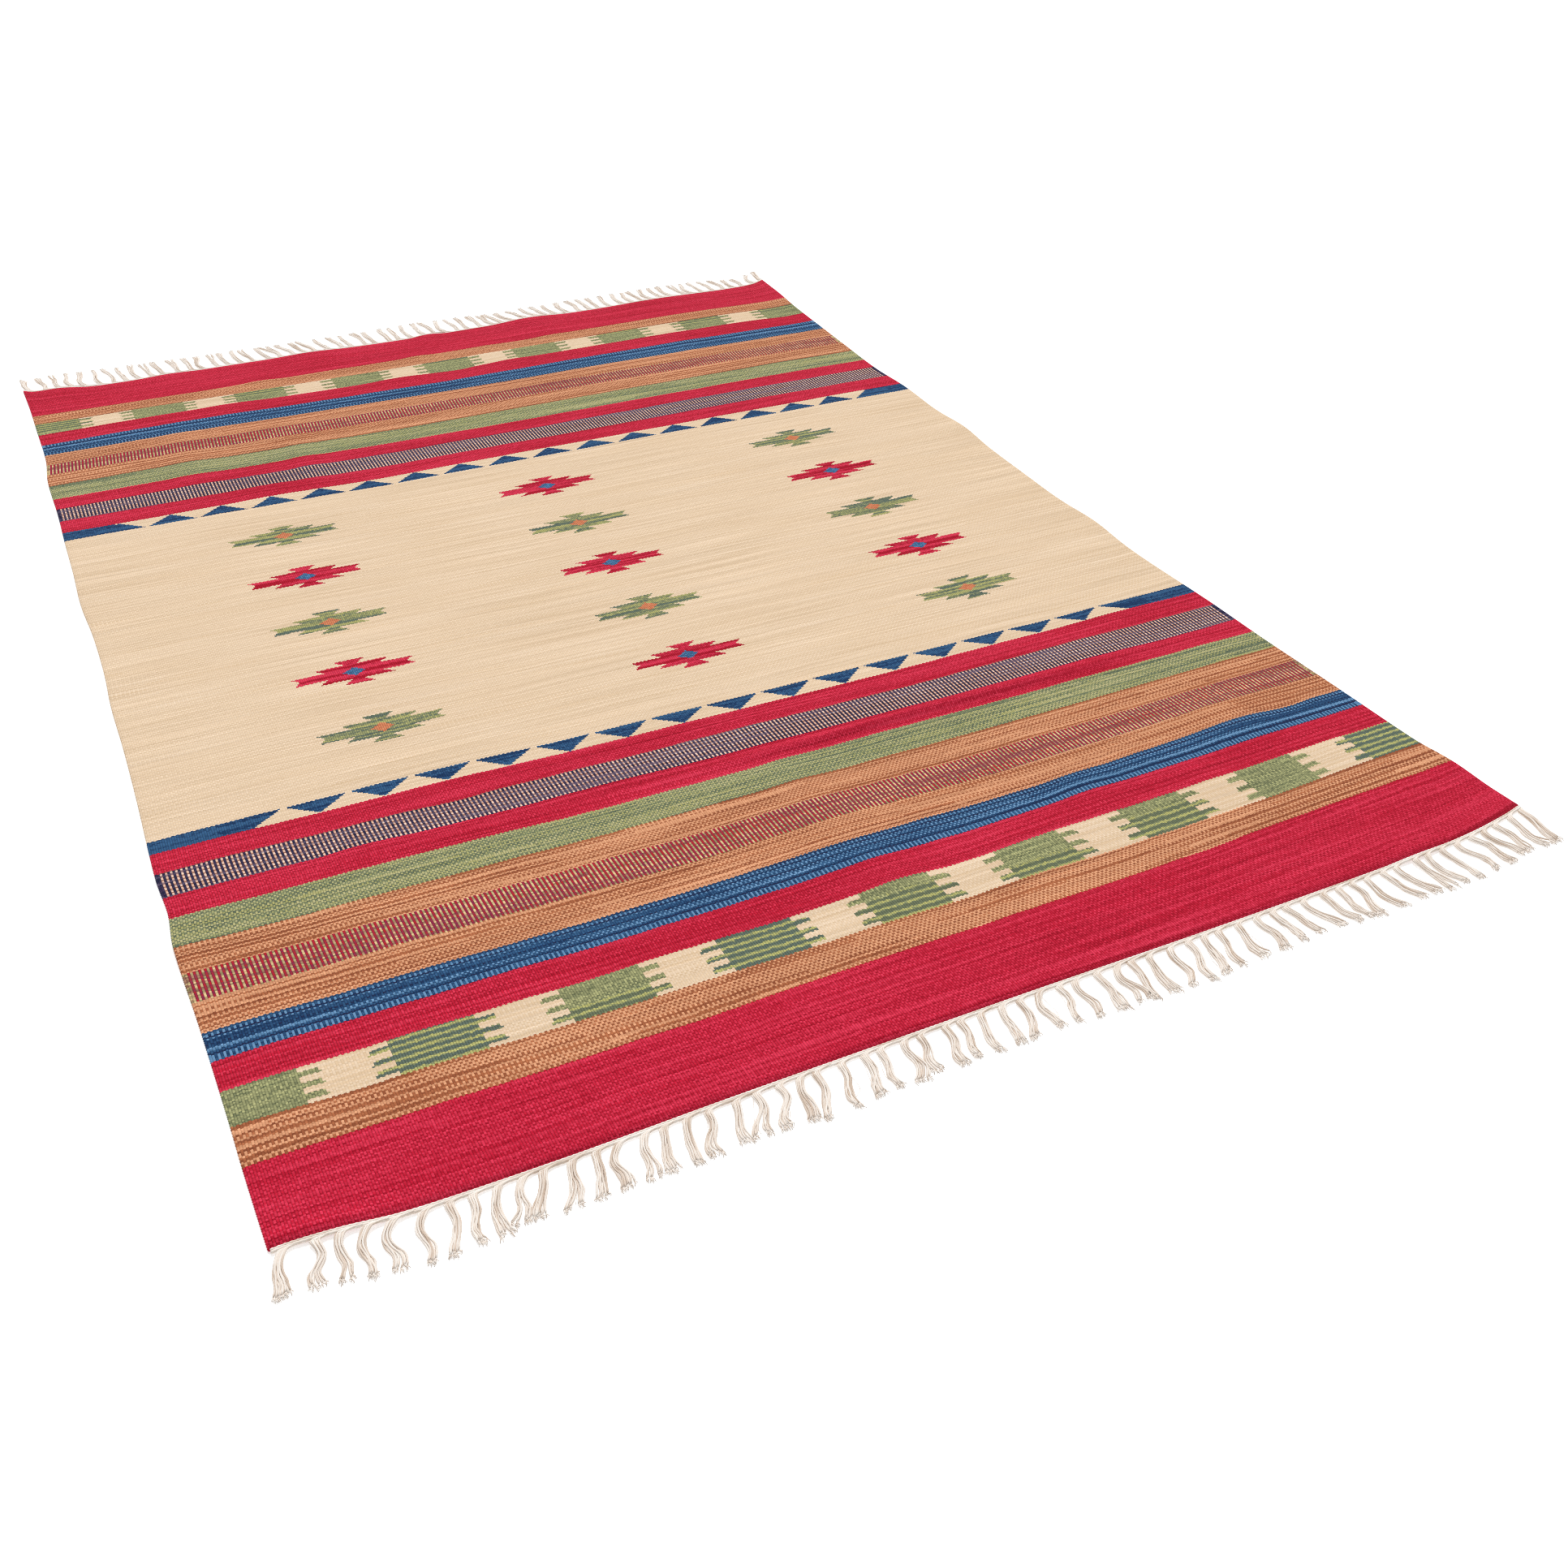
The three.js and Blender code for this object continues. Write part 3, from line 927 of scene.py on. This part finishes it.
def make_mesh(name, corners, faces, maps, material, shift):
    """An object from plan points, with one UV map given for each corner."""
    mesh = bpy.data.meshes.new(name)
    moved = [(x + shift[0], y + shift[1], z) for x, y, z in corners]
    mesh.from_pydata(moved, [], faces)
    for title, places in maps.items():
        layer = mesh.uv_layers.new(name=title)
        flat = []
        for loop in mesh.loops:
            flat.extend(places[loop.vertex_index])
        layer.uv.foreach_set("vector", flat)
    mesh.polygons.foreach_set("use_smooth", [True] * len(mesh.polygons))
    mesh.materials.append(material)
    mesh.validate()
    mesh.update()
    return add_object(name, mesh)


# The shares of the way to the far end at which the cloth's rows of points lie. They are closer at the fold.
SHARES = []
for coarse in range(ROWS_IN_CLOTH):
    split = FOLD_SPLIT if FOLD_ROWS[0] <= coarse < FOLD_ROWS[1] else 1
    SHARES += [(coarse + part / split) / ROWS_IN_CLOTH for part in range(split)]
SHARES.append(1.0)
EDGE_STEPS = 12
EDGE_INSET = 1.6 * MM
EDGE_BULGE = 0.35 * MM

# The three lines of points down each woven edge: how far out and how far up each lies, as shares
EDGE_PROFILE = [(0.45, 0.93), (1.0, 0.5), (0.45, 0.07)]

# The half turns of weft down a woven edge for each pick
EDGE_TURN = 0.67


def weave_wave(x, y):
    """Small waves in the wefts, in picks."""
    long_wave = noise.noise(Vector((x * 7.0, y * 9.0, 0.3)))
    short_wave = noise.noise(Vector((x * 19.0, y * 23.0, 4.1)))
    return 2.0 * long_wave + 0.8 * short_wave


def build_cloth(shift, material):
    """The woven sheet: top, underside and rounded woven edges with a bead for each turn of weft."""
    columns = [-CLOTH_WIDTH / 2 + EDGE_INSET]
    warp_width = CLOTH_WIDTH / WARP_COUNT
    cells = WARP_COUNT // WARPS_PER_CELL
    columns += [-CLOTH_WIDTH / 2 + warp_width * WARPS_PER_CELL * i for i in range(1, cells)]
    columns.append(CLOTH_WIDTH / 2 - EDGE_INSET)
    rows = len(SHARES) - 1
    corners = []
    faces = []
    weave = []

    def add(x, y, z, column):
        corners.append((x, y, z))
        weave.append((column, (pick_at(x, y) + weave_wave(x, y)) * PICK))
        return len(corners) - 1

    grid = {}
    for top in (0, 1):
        for row in range(rows + 1):
            for i, column in enumerate(columns):
                x, y = cloth_point(column, SHARES[row])
                grid[top, row, i] = add(x, y, lift(x, y) + top * CLOTH_THICKNESS, column)
    last = len(columns) - 1
    for row in range(rows):
        for i in range(last):
            for top in (1, 0):
                a, b = grid[top, row, i], grid[top, row, i + 1]
                d, c = grid[top, row + 1, i], grid[top, row + 1, i + 1]
                faces.append((a, b, c, d) if top else (d, c, b, a))

    # The two ends are plain walls, hidden by the off-white band
    for i in range(last):
        faces.append((grid[0, 0, i], grid[0, 0, i + 1], grid[1, 0, i + 1], grid[1, 0, i]))
        faces.append((grid[0, rows, i + 1], grid[0, rows, i], grid[1, rows, i], grid[1, rows, i + 1]))

    # The woven edges: three fine lines of points down each side, joined to the coarse grid by fans
    for side, edge in ((-1, 0), (1, last)):
        lines = [[], [], []]
        for step in range(rows * EDGE_STEPS + 1):
            row = min(step // EDGE_STEPS, rows - 1)
            share = SHARES[row] + (SHARES[row + 1] - SHARES[row]) * (step / EDGE_STEPS - row)
            x, y = cloth_point(side * CLOTH_WIDTH / 2, share)
            pick = pick_at(x, y) + weave_wave(x, y)
            bead = math.cos(pick * math.pi * EDGE_TURN)
            for line, (out, up) in zip(lines, EDGE_PROFILE):
                proud = EDGE_INSET * (out - 1) + EDGE_BULGE * bead * out
                z = lift(x, y) + CLOTH_THICKNESS * up
                column = side * (CLOTH_WIDTH / 2 + EDGE_INSET * (out - 1))
                line.append(add(x + side * proud, y, z, column))

        def wall(a, b, c, d):
            faces.append((a, b, c, d) if side > 0 else (d, c, b, a))

        def fan(hub, first, second, top):
            faces.append((hub, first, second) if (side > 0) == bool(top) else (hub, second, first))

        for step in range(rows * EDGE_STEPS):
            for upper, lower in zip(lines, lines[1:]):
                wall(lower[step], lower[step + 1], upper[step + 1], upper[step])
        half = EDGE_STEPS // 2
        for row in range(rows):
            start = row * EDGE_STEPS
            for top, line in ((1, lines[0]), (0, lines[2])):
                hub = grid[top, row, edge]
                following = grid[top, row + 1, edge]
                for step in range(start, start + EDGE_STEPS):
                    fan(hub if step < start + half else following, line[step], line[step + 1], top)
                fan(hub, line[start + half], following, top)
        for row, flip in ((0, False), (rows, True)):
            step = row * EDGE_STEPS
            ring = [grid[1, row, edge], lines[0][step], lines[1][step], lines[2][step], grid[0, row, edge]]
            turned = (side > 0) == flip
            faces.append(tuple(ring) if turned else tuple(reversed(ring)))
    return make_mesh("woven_cloth", corners, faces, {"weave": weave}, material, shift)


class Yarns:
    """Many round yarns in one mesh, each a tube along its own path."""

    def __init__(self):
        self.corners = []
        self.faces = []
        self.maps = []

    def add(self, path, radius, sides, start, wrap=1.0):
        """One more yarn. start is where its map begins along it, and wrap how far round the map reaches,
        which sets how much painted shade its sides get.
        """
        count = len(path)
        first = len(self.corners)
        travelled = 0.0
        for i, point in enumerate(path):
            ahead = path[min(i + 1, count - 1)]
            behind = path[max(i - 1, 0)]
            tangent = (ahead - behind).normalized()
            if i:
                travelled += (point - path[i - 1]).length
            across = tangent.cross(Vector((0, 0, 1)))
            across = across.normalized() if across.length > 1e-4 else Vector((1, 0, 0))
            up = across.cross(tangent)
            thick = radius(i / (count - 1))
            for k in range(sides):
                angle = 2 * math.pi * k / sides
                self.corners.append(tuple(point + (across * math.cos(angle) + up * math.sin(angle)) * thick))
                self.maps.append((travelled + start, 0.5 + (abs(2 * k / sides - 1) - 0.5) * wrap))
        for i in range(count - 1):
            for k in range(sides):
                a = first + i * sides + k
                b = first + i * sides + (k + 1) % sides
                self.faces.append((a, a + sides, b + sides, b))
        self.faces.append(tuple(first + k for k in range(sides)))
        self.faces.append(tuple(first + (count - 1) * sides + k for k in reversed(range(sides))))

    def add_fibre(self, path, thick, thin, start):
        """A single fibre, which narrows from thick to thin."""
        # A fibre's map doesn't reach round it, so it gets none of the yarn's painted side shade
        self.add(path, lambda share: thick + (thin - thick) * share, 3, start, wrap=0.0)

    def build(self, name, material, shift):
        return make_mesh(name, self.corners, self.faces, {"yarn": self.maps}, material, shift)


CURVE_STEPS = 12


def smooth_path(points, spacing):
    """Evenly spaced points on the smooth curve through the points given."""
    dense = []
    last = len(points) - 1
    for i in range(last):
        before = points[max(i - 1, 0)]
        a = points[i]
        b = points[i + 1]
        after = points[min(i + 2, last)]
        for step in range(CURVE_STEPS):
            t = step / CURVE_STEPS
            dense.append(
                0.5 * (2 * a + (b - before) * t + (2 * before - 5 * a + 4 * b - after) * t * t
                       + (3 * a - before - 3 * b + after) * t * t * t)
            )
    dense.append(points[-1])
    total = sum((b - a).length for a, b in zip(dense, dense[1:]))
    count = max(2, round(total / spacing))
    path = [dense[0]]
    walked = 0.0
    target = total / count
    for a, b in zip(dense, dense[1:]):
        length = (b - a).length
        while walked + length >= target - 1e-9 and len(path) < count:
            path.append(a.lerp(b, (target - walked) / length))
            target += total / count
        walked += length
    path.append(dense[-1])
    return path


KNOT_PITCH = (CLOTH_WIDTH - 2 * KNOT_INSET) / (KNOT_COUNT - 1)
KNOTS = [
    -CLOTH_WIDTH / 2 + KNOT_INSET + i * KNOT_PITCH + jitter(i, 1) * KNOT_JITTER for i in range(KNOT_COUNT)
]

YARN_RADIUS = 1.2 * MM
YARN_SIDES = 6
YARN_STEP = 3.5 * MM
PLY_LENGTH = 4.2 * MM

# Each tassel's yarns come along the band from its right, over this reach, and turn outwards at the knot
GATHER_LENGTH = 25 * MM
GATHER_DROP = 7 * MM
BAND_INNER = 2.2 * MM
ROOT_OUT = 9.5 * MM
ROOT_WIDTH = 6.8 * MM
TASSEL_STYLE = {
    "near": {"curl": 8 * MM, "spread": 1.0},
    "far": {"curl": 3 * MM, "spread": 0.7},
}

# How many yarns a tassel has, how wide its tip spreads, and how far its yarns stray
CORNER_YARNS = 10
FEWEST_YARNS = 6
CORNER_TIP = 16 * MM
TIP_WIDTH = 11.5 * MM
TIP_JITTER = 9 * MM
SWAY = 9 * MM
YARN_JITTER = 2.2 * MM
TIP_RAGGED = 5 * MM

# Heights over the floor, or over the cloth's underside at the band
LAYER_RISE = 1.7 * MM
BAND_HEIGHT = 2.0 * MM
FLOOR_HEIGHT = 1.25 * MM

# The shares of the way along the band, and of the way out to the tip, at which a yarn's points lie
GATHER_STEPS = (1.0, 0.6, 0.3, 0.12)
STATIONS = (0.16, 0.34, 0.52, 0.70, 0.86, 1.0)

# The frayed tips, and the stray fibres beside some tassels
FRAY_STRANDS = 3
FRAY_THICK = 0.75 * MM
FRAY_THIN = 0.3 * MM
STRAY_RADIUS = 0.32 * MM
STRAY_OVER = 0.12


def beside_end(x, out, z, outward):
    """A point that lies out past the cloth's end, beside the place x along it."""
    held = min(max(x, -CLOTH_WIDTH / 2), CLOTH_WIDTH / 2)
    return Vector((x, end_line(held, outward) + outward * (BAND_GAP + out), z))


def plied_radius(share):
    """A yarn is full to near its tip, where its fibres part."""
    return YARN_RADIUS * (1 if share < 0.97 else 0.7)


def tassel_sizes(index, end, outward, table):
    """One tassel's own sizes, from its end's table and style and its own jitter."""
    knot = KNOTS[index]
    style = TASSEL_STYLE[end]
    corner = index in (0, KNOT_COUNT - 1)
    tip = CORNER_TIP if corner else TIP_WIDTH + jitter(index, 6) * TIP_JITTER
    return {
        "knot": knot,
        "outward": outward,
        "lean": along(table, "x", "lean", knot / MM) * MM + jitter(index, 2) * LEAN_JITTER,
        "reach": along(table, "x", "reach", knot / MM) * MM + jitter(index, 3) * REACH_JITTER,
        "yarns": CORNER_YARNS if corner else FEWEST_YARNS + round((jitter(index, 5) + 0.5) * 2),
        "spread": style["spread"],
        "tip_width": tip * style["spread"],
        "sway": jitter(index, 4) * SWAY,
        "curl": jitter(index, 8) * style["curl"],
        "split": max(0.0, jitter(index, 7) - 0.28) * 45 * MM,
        "raised": lift(knot, end_line(knot, outward)),
        "gather": min(GATHER_LENGTH, CLOTH_WIDTH / 2 - 2 * MM - knot),
    }


def yarn_path(tassel, k, seed):
    """One yarn of a tassel: in along the band, round at the knot, and out over the floor to its tip."""
    knot = tassel["knot"]
    raised = tassel["raised"]
    outward = tassel["outward"]
    share = k / (tassel["yarns"] - 1)
    rank = share - 0.5
    layer = (k % 2) * LAYER_RISE
    start = tassel["gather"] * (0.1 + 0.9 * share)
    points = []
    for step in GATHER_STEPS:
        x = knot + start * step + rank * ROOT_WIDTH * (1 - step)
        drop = math.exp(-start * step / GATHER_DROP)
        out = BAND_INNER + (ROOT_OUT - BAND_INNER) * drop * (0.6 + 0.4 * share)
        z = raised + BAND_HEIGHT + layer * 0.4 + 0.6 * MM * (1 - step)
        points.append(beside_end(x, out, z, outward))
    side = 1 if rank > 0 else -1
    for number, u in enumerate(STATIONS):
        width = ROOT_WIDTH + (tassel["tip_width"] - ROOT_WIDTH) * u ** 1.5
        x = knot + tassel["lean"] * u ** 1.2 + tassel["sway"] * math.sin(math.pi * 1.3 * u) + rank * width
        x += tassel["curl"] * math.sin(math.pi * 2 * u)
        x += side * tassel["split"] * u * u / 2 + jitter(seed, 20 + number) * YARN_JITTER * min(1, u * 2)
        out = ROOT_OUT + (tassel["reach"] - ROOT_OUT) * u + jitter(seed, 13) * TIP_RAGGED * u * u
        fall = max(0.0, 1 - u * 2.2)
        z = FLOOR_HEIGHT + raised * fall + layer * (1 - 0.6 * u) + 0.9 * MM * fall
        points.append(beside_end(x, out, z, outward))
    return smooth_path(points, YARN_STEP)


def fray(yarns, tip, tassel, seed):
    """The strands into which a yarn's tip parts."""
    for strand in range(FRAY_STRANDS):
        each = seed * 5 + strand
        aside = jitter(each, 15) * 6 * tassel["spread"] * MM
        away = Vector((aside, tassel["outward"] * (5 + jitter(each, 16) * 6) * MM, 0))
        bent = tip + away * 0.55 + Vector((jitter(each, 18) * 3 * MM, 0, 0))
        strand_end = tip + away
        bent.z = (1.0 + (jitter(each, 17) + 0.5) * 1.4) * MM
        strand_end.z = (0.6 + (jitter(each, 19) + 0.5) * 1.2) * MM
        yarns.add_fibre([tip, bent, strand_end], FRAY_THICK, FRAY_THIN, each * 0.37)


def add_stray(yarns, tassel, index):
    """A stray fibre that bows out beside its tassel."""
    side = 1 if jitter(index, 31) > 0 else -1
    arc = (7 + jitter(index, 32) * 8) * MM
    tip = tassel["reach"] * (0.95 + jitter(index, 33) * 0.2)
    route = rows_of(
        ("aside", "out", "up"),
        (side * 2 * MM, ROOT_OUT, tassel["raised"] + 2 * MM),
        (side * arc * 0.7 + tassel["lean"] * 0.3, tassel["reach"] * 0.45, 1.4 * MM),
        (side * arc + tassel["lean"] * 0.6, tassel["reach"] * 0.72, 0.9 * MM),
        (side * arc * 0.4 + tassel["lean"], tip, 0.7 * MM),
    )
    points = []
    for row in route:
        points.append(beside_end(tassel["knot"] + row["aside"], row["out"], row["up"], tassel["outward"]))
    yarns.add_fibre(smooth_path(points, 3 * MM), STRAY_RADIUS, STRAY_RADIUS, index)


def build_tassels(end, outward, table, shift, material):
    """The fringe of one end: knotted tassels of plied yarns, which lie frayed on the floor."""
    yarns = Yarns()
    for index in range(KNOT_COUNT):
        tassel = tassel_sizes(index, end, outward, table)
        for k in range(tassel["yarns"]):
            seed = index * 31 + k
            path = yarn_path(tassel, k, seed)
            yarns.add(path, plied_radius, YARN_SIDES, seed * 0.37)
            fray(yarns, path[-1], tassel, seed)
        if jitter(index, 30) > STRAY_OVER:
            add_stray(yarns, tassel, index)
    return yarns.build("tassels_" + end, material, shift)


# The twined cords of an end band: how far out and up each lies, and its radius, in millimetres
BAND_CORDS = rows_of(
    ("out", "up", "radius"),
    (0.4, 2.5, 1.7),
    (2.7, 2.1, 1.9),
)
CORD_STEP = 2.1 * MM
CORD_BEAD = 6.3 * MM
CORD_WAVE = 0.35 * MM
CORD_SIDES = 6


def build_band(name, outward, shift, material):
    """The off-white band beside the cloth's end: two twined cords, the inner one over the last weft."""
    yarns = Yarns()
    length = CLOTH_WIDTH - 4 * MM
    count = round(length / CORD_STEP)
    for number, cord in enumerate(BAND_CORDS):
        path = []
        for i in range(count + 1):
            x = -length / 2 + length * i / count
            wave = math.sin(2 * math.pi * (x / CORD_BEAD + number * 0.5)) * CORD_WAVE
            height = lift(x, end_line(x, outward)) + cord["up"] * MM
            path.append(beside_end(x, cord["out"] * MM + wave, height, outward))
        # The cords' map reaches less far round, so they get none of the yarn's painted side shade
        yarns.add(path, lambda share: cord["radius"] * MM, CORD_SIDES, number * 3.1, wrap=0.45)
    return yarns.build(name, material, shift)


FLOOR_HALF = 12
FLOOR_DROP = 0.2 * MM


def build_floor(material):
    mesh = bpy.data.meshes.new("floor")
    corners = [(x * FLOOR_HALF, y * FLOOR_HALF, 0) for x, y in ((-1, -1), (1, -1), (1, 1), (-1, 1))]
    mesh.from_pydata(corners, [], [(0, 1, 2, 3)])
    mesh.materials.append(material)
    floor = add_object("floor", mesh)
    floor.location.z = -FLOOR_DROP


# The camera, from the four cloth corners in the photograph, in the plan's own metres
CAMERA_PLACE = (-0.854, -2.310, 1.302)
CAMERA_DOWN = 36.04
CAMERA_AZIMUTH = 27.01
CAMERA_ROLL = 0.934
CAMERA_LENS = 36.5


def build_camera(shift):
    data = bpy.data.cameras.new("camera")
    data.lens = CAMERA_LENS
    data.sensor_width = 36
    data.clip_start = 0.05
    data.clip_end = 60
    camera = add_object("camera", data)
    x, y, z = CAMERA_PLACE
    camera.location = (x + shift[0], y + shift[1], z)
    down = math.radians(CAMERA_DOWN)
    azimuth = math.radians(CAMERA_AZIMUTH)
    sight = Vector((math.sin(azimuth) * math.cos(down), math.cos(azimuth) * math.cos(down), -math.sin(down)))
    turn = sight.to_track_quat("-Z", "Y")
    roll = Quaternion((0, 0, 1), math.radians(CAMERA_ROLL))
    camera.rotation_mode = "QUATERNION"
    camera.rotation_quaternion = turn @ roll
    bpy.context.scene.camera = camera


# The even light of the studio, and the soft sun that gives the weave its shade
STUDIO_LIGHT = 0.54
SUN_LIGHT = 2.3
SUN_SPREAD = 28
SUN_DIRECTION = (-0.35, -0.75, -1.0)


def build_lights():
    world = bpy.data.worlds.new("studio")
    world.use_nodes = True
    background = world.node_tree.nodes["Background"]
    background.inputs["Color"].default_value = (1, 1, 1, 1)
    background.inputs["Strength"].default_value = STUDIO_LIGHT
    bpy.context.scene.world = world
    data = bpy.data.lights.new("key", "SUN")
    data.energy = SUN_LIGHT
    data.angle = math.radians(SUN_SPREAD)
    key = add_object("key", data)
    key.rotation_euler = Vector(SUN_DIRECTION).to_track_quat("-Z", "Y").to_euler()


def main():
    shift = plan_shift()
    build_camera(shift)
    build_lights()
    build_floor(floor_material())
    cloth = build_cloth(shift, cloth_material())
    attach(cloth, "root")
    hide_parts("rug_cloth")
    yarn = yarn_material()
    for end, outward, table in (("near", -1, NEAR_TASSELS), ("far", 1, FAR_TASSELS)):
        band = build_band("band_" + end, outward, shift, yarn)
        tassels = build_tassels(end, outward, table, shift, yarn)
        for piece in (band, tassels):
            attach(piece, "root")
        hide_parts("fringe_" + end)
    bpy.context.scene.view_settings.view_transform = "Standard"
    bpy.context.scene.cycles.use_denoising = False
    bpy.context.scene.cycles.filter_width = 1.0


main()
